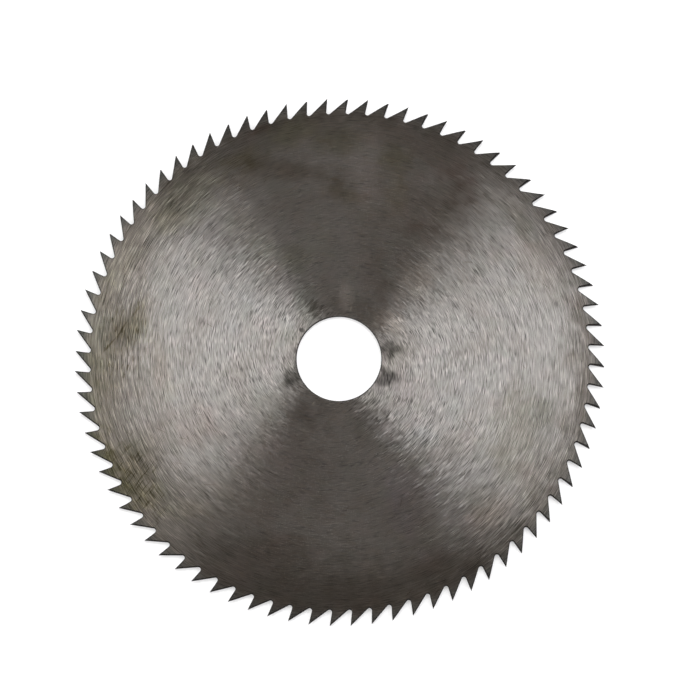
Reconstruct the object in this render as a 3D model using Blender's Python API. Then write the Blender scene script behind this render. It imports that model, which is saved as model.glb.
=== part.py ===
"""A fine-toothed circular saw blade for wood, ground from one plain steel plate.

The blade lies flat, with +Z its upper side, and its origin is the bore's centre, halfway through the
plate. Seen from above, the teeth point clockwise. Every tooth is filed from the plate itself: a hooked
front, a straight back and a round gullet between them. The teeth are set, which means that their outer
part is bent out of the plate's plane, one up and the next down, so that the blade cuts a groove wider
than itself. Each front is also bevelled, so that the corner on the bent side leads and scores the wood.
"""

import math

import bmesh
import bpy
from mathutils import Matrix, Vector

# Plate and bore, in metres
BLADE_DIAMETER = 0.200
PLATE_THICKNESS = 0.0016
BORE_DIAMETER = 0.032
BORE_CHAMFER = 0.0002

# Teeth: they come in pairs of one bent up and one bent down
TOOTH_PAIRS = 40
HOOK_ANGLE = math.radians(8.0)
BACK_ANGLE = math.radians(42.5)
GULLET_RADIUS = 0.0009
FACE_BEVEL_ANGLE = math.radians(12.0)

# Set: how far a tip stands off to its side, how far below the tip the bend begins, and its length
SET_PER_SIDE = 0.0005
SET_DEPTH = 0.0028
BEND_LENGTH = 0.0009

# Flat land between the gullets and the innermost edge of the toothed rim
RIM_LAND = 0.0020

# Facets: steps round each gullet, steps through each bend, and plate sectors behind each tooth
GULLET_STEPS = 8
BEND_STEPS = 2
SECTORS_PER_TOOTH = 2

STEEL_COLOR = (0.42, 0.39, 0.35, 1.0)
STEEL_ROUGHNESS = 0.38
SHARP_EDGE_ANGLE = math.radians(30.0)
# Sectors meet point on point, so only rounding error lies between them
WELD_DISTANCE = 1e-6

UP = 1
DOWN = -1

TIP_RADIUS = BLADE_DIAMETER / 2
BORE_RADIUS = BORE_DIAMETER / 2
HALF_THICKNESS = PLATE_THICKNESS / 2
PITCH_ANGLE = math.pi / TOOTH_PAIRS
TIP = Vector((0.0, TIP_RADIUS))


def clockwise(point, angle):
    """A plan point turned clockwise about the blade's centre, seen from above."""
    return Matrix.Rotation(-angle, 2) @ point


def plan_angle(point):
    """How far clockwise of +Y a plan point lies."""
    return math.atan2(point.x, point.y)


# The first tooth has its tip on +Y and cuts towards +X. These are the directions that its front and
# the next tooth's back face.
FRONT_NORMAL = Vector((math.cos(HOOK_ANGLE), -math.sin(HOOK_ANGLE)))
NEXT_BACK_NORMAL = clockwise(Vector((-math.sin(BACK_ANGLE), math.cos(BACK_ANGLE))), PITCH_ANGLE)


def gullet_centre():
    """The centre of the round that touches this tooth's front and the next tooth's back."""
    front_reach = FRONT_NORMAL.dot(TIP) + GULLET_RADIUS
    back_reach = NEXT_BACK_NORMAL.dot(clockwise(TIP, PITCH_ANGLE)) + GULLET_RADIUS
    return Matrix((FRONT_NORMAL, NEXT_BACK_NORMAL)).inverted() @ Vector((front_reach, back_reach))


def gullet_points():
    """Plan points round the gullet, from the foot of this tooth's front to the next tooth's back."""
    centre = gullet_centre()
    start = -GULLET_RADIUS * FRONT_NORMAL
    sweep = FRONT_NORMAL.angle(NEXT_BACK_NORMAL)
    turns = (-sweep * step / GULLET_STEPS for step in range(GULLET_STEPS + 1))
    return [centre + clockwise(start, turn) for turn in turns]


def set_height(depth):
    """How far a bent tooth stands off its plane at a depth below its tip: a round bend, then straight."""
    slope = SET_PER_SIDE / (SET_DEPTH - BEND_LENGTH / 2)
    beyond = max(0.0, SET_DEPTH - depth)
    if beyond < BEND_LENGTH:
        return slope * beyond**2 / (2 * BEND_LENGTH)
    return slope * (beyond - BEND_LENGTH / 2)


def raised(point, side, bend):
    """A plan point placed on the upper or lower side of a tooth that is bent up or down."""
    depth = TIP_RADIUS - point.y
    return Vector((point.x, point.y, side * HALF_THICKNESS + bend * set_height(depth)))


def tooth_points(side, bend, foot):
    """One side of a tooth: points up its back, its tip, and points up its front, above the feet.

    The leading side has its tip on the blade's outer circle. On the other side the bevel takes the
    front back along the tooth, most at the tip and nothing at the foot of the front.
    """
    cutback = 0.0 if side == bend else PLATE_THICKNESS * math.tan(FACE_BEVEL_ANGLE)
    foot_depth = TIP_RADIUS - foot.y
    hook = math.tan(HOOK_ANGLE)
    back_run = 1 / math.tan(BACK_ANGLE)
    depths = [SET_DEPTH - BEND_LENGTH * step / BEND_STEPS for step in range(BEND_STEPS + 1)]
    backs = [TIP + Vector((-depth * back_run, -depth)) for depth in depths]
    fronts = [
        TIP + Vector((-depth * hook - cutback * (1 - depth / foot_depth), -depth)) for depth in depths
    ]
    tip_depth = cutback / (back_run - hook + cutback / foot_depth)
    tip = TIP + Vector((-tip_depth * back_run, -tip_depth))
    return (
        [raised(point, side, bend) for point in backs],
        raised(tip, side, bend),
        [raised(point, side, bend) for point in fronts],
    )


def polar(radius, angle, height):
    """A point at a clockwise angle from +Y."""
    return Vector((radius * math.sin(angle), radius * math.cos(angle), height))


def sector_side(bm, side, bend):
    """One side of the sector that a tooth and the gullet ahead of it take up.

    It adds the side's faces and returns two lists of vertices: those along the rim, from the foot of
    the tooth's back to the next tooth's, and those along the bore's wall.
    """
    gullet = gullet_points()
    height = side * HALF_THICKNESS
    back_foot = clockwise(gullet[-1], -PITCH_ANGLE)
    backs, tip, fronts = tooth_points(side, bend, gullet[0])

    rim_plan = [back_foot, *gullet]
    feet = [bm.verts.new((point.x, point.y, height)) for point in rim_plan]
    backs = [feet[0]] + [bm.verts.new(point) for point in backs]
    fronts = [feet[1]] + [bm.verts.new(point) for point in fronts]
    tip = bm.verts.new(tip)
    for row in range(len(backs) - 1):
        bm.faces.new((backs[row], backs[row + 1], fronts[row + 1], fronts[row]))
    bm.faces.new((backs[-1], tip, fronts[-1]))

    first = plan_angle(back_foot)
    angles = [first + PITCH_ANGLE * step / SECTORS_PER_TOOTH for step in range(SECTORS_PER_TOOTH + 1)]
    land_radius = gullet_centre().length - GULLET_RADIUS - RIM_LAND
    wall_height = side * (HALF_THICKNESS - BORE_CHAMFER)
    land = [bm.verts.new(polar(land_radius, angle, height)) for angle in angles]
    lip = [bm.verts.new(polar(BORE_RADIUS + BORE_CHAMFER, angle, height)) for angle in angles]
    wall = [bm.verts.new(polar(BORE_RADIUS, angle, wall_height)) for angle in angles]
    bm.faces.new([*feet, *reversed(land)])
    for inner, outer in ((lip, land), (wall, lip)):
        for step in range(SECTORS_PER_TOOTH):
            bm.faces.new((outer[step], outer[step + 1], inner[step + 1], inner[step]))
    return [*backs, tip, *reversed(fronts), *feet[2:]], wall


def add_sector(bm, bend):
    """A tooth that is bent up or down, its gullet and the plate behind them, joined through the plate."""
    upper_rim, upper_wall = sector_side(bm, UP, bend)
    lower_rim, lower_wall = sector_side(bm, DOWN, bend)
    for upper, lower in ((upper_rim, lower_rim), (upper_wall, lower_wall)):
        for step in range(len(upper) - 1):
            bm.faces.new((upper[step], upper[step + 1], lower[step + 1], lower[step]))


def patterned_blade():
    """A pair of teeth, one bent up and one bent down, repeated round the axis."""
    bm = bmesh.new()
    axis = Vector((0.0, 0.0, 1.0))
    add_sector(bm, DOWN)
    bmesh.ops.rotate(bm, verts=bm.verts, matrix=Matrix.Rotation(-PITCH_ANGLE, 3, axis))
    add_sector(bm, UP)
    bmesh.ops.spin(
        bm,
        geom=bm.verts[:] + bm.edges[:] + bm.faces[:],
        axis=axis,
        angle=math.tau * (TOOTH_PAIRS - 1) / TOOTH_PAIRS,
        steps=TOOTH_PAIRS - 1,
        use_duplicate=True,
    )
    bmesh.ops.remove_doubles(bm, verts=bm.verts, dist=WELD_DISTANCE)
    bmesh.ops.recalc_face_normals(bm, faces=bm.faces)
    mesh = bpy.data.meshes.new("saw_blade")
    bm.to_mesh(mesh)
    bm.free()
    return mesh


def ground_steel():
    """Bright ground tool steel."""
    material = bpy.data.materials.new("ground_steel")
    material.use_nodes = True
    shader = material.node_tree.nodes["Principled BSDF"]
    shader.inputs["Base Color"].default_value = STEEL_COLOR
    shader.inputs["Metallic"].default_value = 1.0
    shader.inputs["Roughness"].default_value = STEEL_ROUGHNESS
    return material


def main():
    """Clear the scene and make the blade."""
    for old in list(bpy.data.objects):
        bpy.data.objects.remove(old)
    mesh = patterned_blade()
    mesh.shade_smooth()
    mesh.set_sharp_from_angle(angle=SHARP_EDGE_ANGLE)
    mesh.materials.append(ground_steel())
    blade = bpy.data.objects.new("saw_blade", mesh)
    bpy.context.collection.objects.link(blade)


main()
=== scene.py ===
"""The looks of a fine-toothed circular saw blade lying on a white studio floor.

The blade is one plate of ground steel, so one finer surface stands for the whole CAD node. It has the
CAD's own form, worked out from the same sizes with smoother gullets, bends and bore, and with the small
chamfers that the CAD leaves out. Its two finishes are the ground steel of the faces and the near-black
steel of the cut walls, which is darkened steel and painted shade and also paints a band of shade along
the rim's faces, widest on the camera's near side. Lengths are in metres. +Z is the blade's upper side,
and angles round the blade are clockwise from +Y, as the teeth point.
"""

import logging
import math
from dataclasses import dataclass, field
from enum import IntEnum

import bmesh
import bpy
import numpy as np
from mathutils import Matrix, Vector


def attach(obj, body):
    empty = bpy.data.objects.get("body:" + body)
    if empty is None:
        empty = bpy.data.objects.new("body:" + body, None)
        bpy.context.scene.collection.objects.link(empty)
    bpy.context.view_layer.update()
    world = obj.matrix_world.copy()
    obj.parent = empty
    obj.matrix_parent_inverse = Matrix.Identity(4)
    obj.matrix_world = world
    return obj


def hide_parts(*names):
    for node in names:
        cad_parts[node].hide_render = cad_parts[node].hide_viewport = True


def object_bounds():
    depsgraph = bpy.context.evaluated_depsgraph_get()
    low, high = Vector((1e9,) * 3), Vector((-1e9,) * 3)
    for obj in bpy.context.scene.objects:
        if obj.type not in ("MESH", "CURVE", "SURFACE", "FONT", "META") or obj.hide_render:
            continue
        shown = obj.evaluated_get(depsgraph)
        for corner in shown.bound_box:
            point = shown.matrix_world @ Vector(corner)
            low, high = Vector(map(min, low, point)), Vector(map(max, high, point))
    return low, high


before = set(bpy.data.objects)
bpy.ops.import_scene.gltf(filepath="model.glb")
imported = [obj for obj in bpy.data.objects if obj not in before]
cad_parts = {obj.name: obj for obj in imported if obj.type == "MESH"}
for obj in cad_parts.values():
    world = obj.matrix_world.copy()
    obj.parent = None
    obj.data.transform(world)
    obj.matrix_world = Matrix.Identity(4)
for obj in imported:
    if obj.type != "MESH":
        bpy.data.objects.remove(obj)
CAD_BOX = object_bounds()

CAD_NODE = "saw_blade"
BODY = "root"
MILLIMETRE = 0.001

logging.basicConfig(level=logging.INFO, format="%(message)s")
log = logging.getLogger("saw blade")

Colour = tuple[float, float, float]
Pair = tuple[float, float]
Socket = bpy.types.NodeSocket

WHITE: Colour = (1.0, 1.0, 1.0)
# How far apart the noise of the two faces is taken, so that their marks differ
FACES_APART = 37.0


class Side(IntEnum):
    """A side of the plate, and the way in which a tooth is bent."""

    UPPER = 1
    LOWER = -1


class Surface(IntEnum):
    """The blade's finishes, in the order of its material slots."""

    GROUND = 0
    # The near-black walls: darkened steel and painted shade, also laid as a band of painted shade along the
    # rim's faces
    CUT = 1


def turned_clockwise(points: np.ndarray, angles: np.ndarray) -> np.ndarray:
    """Turn plan points clockwise about the blade's centre.

    Formula: x' = x cos a + y sin a, and y' = y cos a - x sin a.

    Args:
        points: array (..., 2 or more) whose first two entries are x and y.
        angles: array of angles that broadcasts against the points without their last axis.

    Returns:
        A new array of the broadcast shape, with any further entries kept.
    """
    cos, sin = np.cos(angles), np.sin(angles)
    x, y = points[..., 0], points[..., 1]
    parts = [x * cos + y * sin, y * cos - x * sin]
    parts += [points[..., i] + 0.0 * cos for i in range(2, points.shape[-1])]
    return np.stack(parts, axis=-1)


@dataclass(frozen=True)
class ToothForm:
    """The plan outline of one tooth and the gullet ahead of it, with the tip on +Y.

    The tooth cuts towards +X. A point on it is given by its depth below the tip. An inset outline has
    its straight lines moved into the steel and its gullet round widened by the same amount.
    """

    tip_radius: float = CAD_BOX[1].y
    tooth_count: int = 80
    hook_angle: float = math.radians(8.0)
    back_angle: float = math.radians(42.5)
    gullet_radius: float = 0.9 * MILLIMETRE
    gullet_steps: int = 14

    @property
    def pitch(self) -> float:
        """The angle from one tooth to the next."""
        return math.tau / self.tooth_count

    @property
    def front_normal(self) -> np.ndarray:
        """The plan direction that the tooth's front faces."""
        return np.array((math.cos(self.hook_angle), -math.sin(self.hook_angle)))

    @property
    def next_back_normal(self) -> np.ndarray:
        """The plan direction that the next tooth's back faces."""
        own = np.array((-math.sin(self.back_angle), math.cos(self.back_angle)))
        return turned_clockwise(own, np.float64(self.pitch))

    @property
    def gullet_centre(self) -> np.ndarray:
        """The centre of the round that touches this tooth's front and the next tooth's back.

        Formula: it lies the gullet's radius outside both lines, which gives two equations for x and y.

        Returns:
            Array (2,).
        """
        tip = np.array((0.0, self.tip_radius))
        next_tip = turned_clockwise(tip, np.float64(self.pitch))
        normals = np.stack((self.front_normal, self.next_back_normal))
        reach = np.array((normals[0] @ tip, normals[1] @ next_tip)) + self.gullet_radius
        return np.linalg.solve(normals, reach)

    @property
    def gullet_bottom_radius(self) -> float:
        """How far the bottom of the gullet lies from the blade's centre."""
        return float(np.linalg.norm(self.gullet_centre)) - self.gullet_radius

    def gullet(self, inset: float) -> np.ndarray:
        """Plan points round the gullet, from this tooth's front to the next tooth's back.

        Formula: the centre plus a spoke of the gullet's radius and the inset, turned counter-clockwise
        in even steps through the angle between the two normals.

        Args:
            inset: how far into the steel the outline lies.

        Returns:
            Array (gullet_steps + 1, 2).
        """
        spoke = -(self.gullet_radius + inset) * self.front_normal
        sweep = math.acos(float(self.front_normal @ self.next_back_normal))
        turns = -np.linspace(0.0, sweep, self.gullet_steps + 1)
        return self.gullet_centre + turned_clockwise(spoke[None, :], turns)

    def front_foot_depth(self, inset: float) -> float:
        """How far below the tip the front meets the gullet's round."""
        return self.tip_radius - float(self.gullet(inset)[0, 1])

    def back_x(self, depth: np.ndarray, inset: float) -> np.ndarray:
        """X of the tooth's back at a depth: the inset over sin(back) less the depth over tan(back)."""
        return inset / math.sin(self.back_angle) - depth / math.tan(self.back_angle)

    def front_x(self, depth: np.ndarray, inset: float, cutback: np.ndarray) -> np.ndarray:
        """X of the tooth's front at a depth.

        Formula: a line at the hook angle, moved in by the inset, less the bevel's cutback, which is
        whole at the tip and nothing at the foot.

        Args:
            depth: depths below the tip.
            inset: how far into the steel the outline lies.
            cutback: how far the bevel takes the tip back, for each tooth.

        Returns:
            X at each depth.
        """
        line = -inset / math.cos(self.hook_angle) - depth * math.tan(self.hook_angle)
        return line - cutback * (1.0 - depth / self.front_foot_depth(inset))

    def tip_depth(self, inset: float, cutback: np.ndarray) -> np.ndarray:
        """The depth at which the inset back and front meet, for each tooth's cutback.

        Formula: where back_x and front_x are equal.

        Args:
            inset: how far into the steel the outline lies.
            cutback: how far the bevel takes each tip back.

        Returns:
            The depths below the tip.
        """
        spread = inset / math.sin(self.back_angle) + inset / math.cos(self.hook_angle)
        closing = 1.0 / math.tan(self.back_angle) - math.tan(self.hook_angle)
        return (spread + cutback) / (closing + cutback / self.front_foot_depth(inset))


@dataclass
class Shell:
    """A closed surface being gathered: vertices, an edge mask for each, and faces with a finish."""

    points: list[np.ndarray] = field(default_factory=list)
    masks: list[np.ndarray] = field(default_factory=list)
    faces: list[list[int]] = field(default_factory=list)
    finishes: list[int] = field(default_factory=list)
    count: int = 0

    def keep(self, points: np.ndarray, mask: float) -> np.ndarray:
        """Add vertices.

        Args:
            points: array (..., 3).
            mask: the edge mask of these vertices: 1 on an edge and 0 in a face.

        Returns:
            The vertices' indices, in an array of the points' shape without its last axis.
        """
        shape = points.shape[:-1]
        size = int(np.prod(shape))
        self.points.append(points.reshape(size, 3))
        self.masks.append(np.full(size, mask))
        indices = np.arange(self.count, self.count + size).reshape(shape)
        self.count += size
        return indices

    def add_grid(self, rows: np.ndarray, finish: Surface) -> None:
        """Add quads between neighbouring rows and columns.

        Args:
            rows: vertex indices, in an array (..., rows, columns).
            finish: the quads' finish.
        """
        corners = (rows[..., :-1, :-1], rows[..., :-1, 1:], rows[..., 1:, 1:], rows[..., 1:, :-1])
        quads = np.stack(corners, axis=-1).reshape(-1, 4)
        self.faces += quads.tolist()
        self.finishes += [int(finish)] * len(quads)

    def add_band(self, inner: np.ndarray, outer: np.ndarray, finish: Surface) -> None:
        """Add quads between two closed loops of as many vertices."""
        rows = np.stack((inner.ravel(), outer.ravel()))
        self.add_grid(np.concatenate((rows, rows[:, :1]), axis=1), finish)

    def add_caps(self, bases: np.ndarray, tips: np.ndarray, finish: Surface) -> None:
        """Add triangles from each row of base vertices to that row's tip.

        Args:
            bases: vertex indices, in an array (teeth, columns).
            tips: one vertex index for each tooth.
            finish: the triangles' finish.
        """
        apex = np.broadcast_to(tips[:, None], bases[:, 1:].shape)
        triangles = np.stack((bases[:, :-1], bases[:, 1:], apex), axis=-1).reshape(-1, 3)
        self.faces += triangles.tolist()
        self.finishes += [int(finish)] * len(triangles)

    def mesh(self, name: str, crease: float) -> bpy.types.Mesh:
        """Make the mesh, its faces outward, smooth between creases.

        Args:
            name: the mesh's name.
            crease: the angle between two faces past which their edge is sharp.

        Returns:
            The new mesh, with the edge mask in its attribute "edge".
        """
        mesh = bpy.data.meshes.new(name)
        mesh.from_pydata(np.concatenate(self.points), [], self.faces)
        mesh.polygons.foreach_set("material_index", self.finishes)
        bm = bmesh.new()
        bm.from_mesh(mesh)
        bmesh.ops.recalc_face_normals(bm, faces=bm.faces)
        bm.to_mesh(mesh)
        bm.free()
        mesh.attributes.new("edge", "FLOAT", "POINT").data.foreach_set("value", np.concatenate(self.masks))
        mesh.shade_smooth()
        mesh.set_sharp_from_angle(angle=crease)
        return mesh


@dataclass
class SawBlade:
    """The blade: a flat plate with a chamfered bore and a rim of set, bevelled teeth."""

    form: ToothForm = field(default_factory=ToothForm)
    plate_thickness: float = 1.6 * MILLIMETRE
    bore_radius: float = 16.0 * MILLIMETRE
    bore_chamfer: float = 0.2 * MILLIMETRE
    bevel_angle: float = math.radians(12.0)
    set_depth: float = 2.8 * MILLIMETRE
    bend_length: float = 0.9 * MILLIMETRE
    rim_land: float = 2.0 * MILLIMETRE
    edge_chamfer: float = 0.08 * MILLIMETRE
    edge_band: float = 0.60 * MILLIMETRE
    # The share of the rim's edge band that is dark everywhere, and how much painted shade widens it towards
    # the camera's near side
    far_share: float = 0.14
    near_shade_gain: float = 0.66
    near_turn: float = 0.0
    bend_steps: int = 6
    tooth_columns: int = 8
    plate_rings: int = 9
    crease_angle: float = math.radians(30.0)

    @property
    def half(self) -> float:
        """Half the plate's thickness."""
        return self.plate_thickness / 2

    @property
    def set_per_side(self) -> float:
        """How far a tip stands off the plate's face: what the CAD box leaves above the plate."""
        return CAD_BOX[1].z - self.half

    @property
    def bends(self) -> np.ndarray:
        """Which way each tooth is bent: up, down and so on."""
        return np.where(np.arange(self.form.tooth_count) % 2 == 0, int(Side.UPPER), int(Side.LOWER))

    @property
    def turns(self) -> np.ndarray:
        """Each tooth's clockwise angle from +Y."""
        return np.arange(self.form.tooth_count) * self.form.pitch

    @property
    def columns(self) -> int:
        """Columns of plate faces behind each tooth and its gullet."""
        return self.tooth_columns + self.form.gullet_steps

    def set_height(self, depth: np.ndarray) -> np.ndarray:
        """How far a bent tooth stands off its plane at each depth.

        Formula: nothing below the set, a parabola through the bend, then straight to the tip.

        Args:
            depth: depths below the tip.

        Returns:
            The offsets, all positive.
        """
        slope = self.set_per_side / (self.set_depth - self.bend_length / 2)
        beyond = np.maximum(self.set_depth - depth, 0.0)
        bent = slope * beyond**2 / (2 * self.bend_length)
        return np.where(beyond < self.bend_length, bent, slope * (beyond - self.bend_length / 2))

    def placed(self, x: np.ndarray, depth: np.ndarray, height: float) -> np.ndarray:
        """Put every tooth's points, given in the first tooth's frame, where they belong.

        Formula: y is the tip's radius less the depth, z is the height plus the tooth's own set, and the
        point is turned clockwise by the tooth's angle.

        Args:
            x: array (teeth, ...).
            depth: array (teeth, ...) of the same shape.
            height: height on the unbent plate.

        Returns:
            Array (teeth, ..., 3).
        """
        spread = (self.form.tooth_count,) + (1,) * (x.ndim - 1)
        z = height + self.bends.reshape(spread) * self.set_height(depth)
        points = np.stack((x, self.form.tip_radius - depth, z), axis=-1)
        return turned_clockwise(points, self.turns.reshape(spread))

    def cutback(self, side: Side) -> np.ndarray:
        """How far the bevel takes each tooth's front back at its tip, nothing on its leading side."""
        return np.where(self.bends == int(side), 0.0, self.plate_thickness * math.tan(self.bevel_angle))

    @property
    def bend_depths(self) -> np.ndarray:
        """Depths of the rows through the bend, from its foot up."""
        return np.linspace(self.set_depth, self.set_depth - self.bend_length, self.bend_steps + 1)

    @property
    def edge_and_shade_shares(self) -> np.ndarray:
        """How much of the edge band is dark at each column of the rim: a thin outline everywhere, widened by
        painted shade towards the camera's near side.

        Formula: each column faces a plan direction, which is its tooth's own turned by the tooth's angle.
        The share is the far share, and the near shade gain times that direction's part in the near
        direction.

        Returns:
            Array (teeth, columns, 1).
        """
        back = math.atan2(self.form.next_back_normal[0], self.form.next_back_normal[1]) - self.form.pitch
        front = math.pi / 2 + self.form.hook_angle
        gullet = np.linspace(front, back + self.form.pitch, self.form.gullet_steps + 1)[:-1]
        rows = self.bend_steps + 2
        facing = np.concatenate((np.full(rows, back), np.full(rows, front), gullet))
        near = math.pi + self.near_turn
        part = np.maximum(np.cos(facing + self.turns[:, None] - near), 0.0)
        return (self.far_share + self.near_shade_gain * part)[..., None]

    def feet(self, inset: float) -> tuple[np.ndarray, np.ndarray]:
        """Plan points of the tooth's back foot and of the gullet ahead of it.

        Args:
            inset: how far into the steel the outline lies.

        Returns:
            Arrays (2,) and (gullet_steps + 1, 2).
        """
        gullet = self.form.gullet(inset)
        back_foot = turned_clockwise(gullet[-1], np.float64(-self.form.pitch))
        return back_foot, gullet

    def rim_loop(self, inset: float, side: Side, height: float) -> np.ndarray:
        """The whole toothed outline at one inset and height.

        Its columns are, for each tooth, the back's foot and rows, the tip, the front's rows and foot,
        and the rest of the gullet up to the next back.

        Args:
            inset: how far into the steel the outline lies.
            side: the side whose bevel it follows.
            height: its height on the unbent plate.

        Returns:
            Array (teeth, columns, 3).
        """
        teeth = self.form.tooth_count
        cut = self.cutback(side)[:, None]
        rows = np.broadcast_to(self.bend_depths, (teeth, self.bend_steps + 1))
        tip = self.form.tip_depth(inset, cut)
        back_foot, gullet = self.feet(inset)
        plan = np.stack((back_foot, *gullet[:-1]))
        foot_x = np.broadcast_to(plan[:, 0], (teeth, len(plan)))
        foot_depth = np.broadcast_to(self.form.tip_radius - plan[:, 1], (teeth, len(plan)))
        xs = (
            foot_x[:, :1],
            self.form.back_x(rows, inset),
            self.form.back_x(tip, inset),
            self.form.front_x(rows, inset, cut)[:, ::-1],
            foot_x[:, 1:],
        )
        depths = (foot_depth[:, :1], rows, tip, rows[:, ::-1], foot_depth[:, 1:])
        return self.placed(np.concatenate(xs, axis=1), np.concatenate(depths, axis=1), height)

    def tooth_face(self, shell: Shell, side: Side, loop: np.ndarray) -> np.ndarray:
        """Fill the side of every tooth with rows across it, up to the tip.

        Formula: each row runs straight from the back's vertex to the front's at the same depth, and the
        lowest from foot to foot.

        Args:
            shell: the surface being gathered.
            side: the side of the plate.
            loop: indices (teeth, columns) of the innermost outline.

        Returns:
            Indices (teeth, tooth_columns + 1) of the lowest row.
        """
        teeth, rows = self.form.tooth_count, self.bend_steps + 2
        tip_column = rows
        cut = self.cutback(side)[:, None]
        back_foot, gullet = self.feet(self.edge_band)
        depths = np.broadcast_to(self.bend_depths, (teeth, rows - 1))
        back_x = np.insert(self.form.back_x(depths, self.edge_band), 0, back_foot[0], axis=1)
        front_x = np.insert(self.form.front_x(depths, self.edge_band, cut), 0, gullet[0, 0], axis=1)
        back_depth = np.insert(depths, 0, self.form.tip_radius - back_foot[1], axis=1)
        front_depth = np.insert(depths, 0, self.form.tip_radius - gullet[0, 1], axis=1)
        share = np.linspace(0.0, 1.0, self.tooth_columns + 1)[1:-1]
        x = back_x[..., None] * (1 - share) + front_x[..., None] * share
        depth = back_depth[..., None] * (1 - share) + front_depth[..., None] * share
        middle = shell.keep(self.placed(x, depth, int(side) * self.half), 0.0)
        back = loop[:, :rows, None]
        front = loop[:, tip_column + 1 : tip_column + 1 + rows, None][:, ::-1]
        grid = np.concatenate((back, middle, front), axis=2)
        shell.add_grid(grid, Surface.GROUND)
        shell.add_caps(grid[:, -1], loop[:, tip_column], Surface.GROUND)
        return grid[:, 0]

    def ring(self, radius: float, height: float) -> np.ndarray:
        """A circle with as many points as the rim has columns, in step with the teeth and gullets.

        Formula: the points' angles run straight from the back's foot to the front's, and from there to
        the next back's, and repeat with the pitch.

        Args:
            radius: the circle's radius.
            height: its height.

        Returns:
            Array (teeth, columns, 3).
        """
        back_foot, gullet = self.feet(self.edge_band)
        knots = np.stack((back_foot, gullet[0], gullet[-1]))
        knot_angles = np.arctan2(knots[:, 0], knots[:, 1])
        columns = np.arange(self.columns)
        angles = np.interp(columns, (0, self.tooth_columns, self.columns), knot_angles)
        points = radius * np.stack((np.sin(angles), np.cos(angles)), axis=-1)
        turned = turned_clockwise(points[None], self.turns[:, None])
        return np.concatenate((turned, np.full(turned.shape[:-1] + (1,), height)), axis=-1)

    def add_side(self, shell: Shell, side: Side) -> tuple[np.ndarray, np.ndarray]:
        """Add one side of the blade, with its chamfers.

        Args:
            shell: the surface being gathered.
            side: the side of the plate.

        Returns:
            Indices of the loops along the rim's wall and along the bore's wall.
        """
        height = int(side) * self.half
        chamfer_height = int(side) * (self.half - self.edge_chamfer)
        lip_points = self.rim_loop(self.edge_chamfer, side, height)
        band_points = self.rim_loop(self.edge_band, side, height)
        shares = self.edge_and_shade_shares
        wall = shell.keep(self.rim_loop(0.0, side, chamfer_height), 1.0)
        lip = shell.keep(lip_points, 1.0)
        # From the lip to this loop the face takes the near-black cut finish: a thin dark outline everywhere,
        # widened by painted shade where the rim faces the camera's near side
        dark = shell.keep(lip_points * (1.0 - shares) + band_points * shares, 1.0)
        band = shell.keep(band_points, 0.0)
        shell.add_band(wall, lip, Surface.CUT)
        shell.add_band(lip, dark, Surface.CUT)
        shell.add_band(dark, band, Surface.GROUND)
        base = self.tooth_face(shell, side, band)
        # The columns before it are the back's foot and rows, the tip, and the front's rows
        front_foot = 2 * (self.bend_steps + 1) + 2
        rim = np.concatenate((base, band[:, front_foot + 1 :]), axis=1)

        land = self.form.gullet_bottom_radius - self.rim_land
        bore_lip = self.bore_radius + self.bore_chamfer
        radii = np.geomspace(land, bore_lip + self.edge_band, self.plate_rings)
        previous = rim
        for radius in radii:
            ring = shell.keep(self.ring(float(radius), height), 0.0)
            shell.add_band(previous, ring, Surface.GROUND)
            previous = ring
        bore_edge = shell.keep(self.ring(bore_lip, height), 1.0)
        bore_wall = shell.keep(self.ring(self.bore_radius, int(side) * (self.half - self.bore_chamfer)), 1.0)
        shell.add_band(previous, bore_edge, Surface.GROUND)
        shell.add_band(bore_edge, bore_wall, Surface.CUT)
        return wall, bore_wall

    def build(self) -> bpy.types.Object:
        """Make the blade's object, still without its finishes.

        Returns:
            The object.
        """
        shell = Shell()
        upper_rim, upper_bore = self.add_side(shell, Side.UPPER)
        lower_rim, lower_bore = self.add_side(shell, Side.LOWER)
        shell.add_band(upper_rim, lower_rim, Surface.CUT)
        shell.add_band(upper_bore, lower_bore, Surface.CUT)
        blade = bpy.data.objects.new("ground_blade", shell.mesh("ground_blade", self.crease_angle))
        bpy.context.collection.objects.link(blade)
        return blade

    def dress(self, blade: bpy.types.Object, ground: bpy.types.Material, cut: bpy.types.Material) -> None:
        """Put the finishes in the blade's slots, in the order of Surface."""
        for material in (ground, cut):
            blade.data.materials.append(material)


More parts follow.
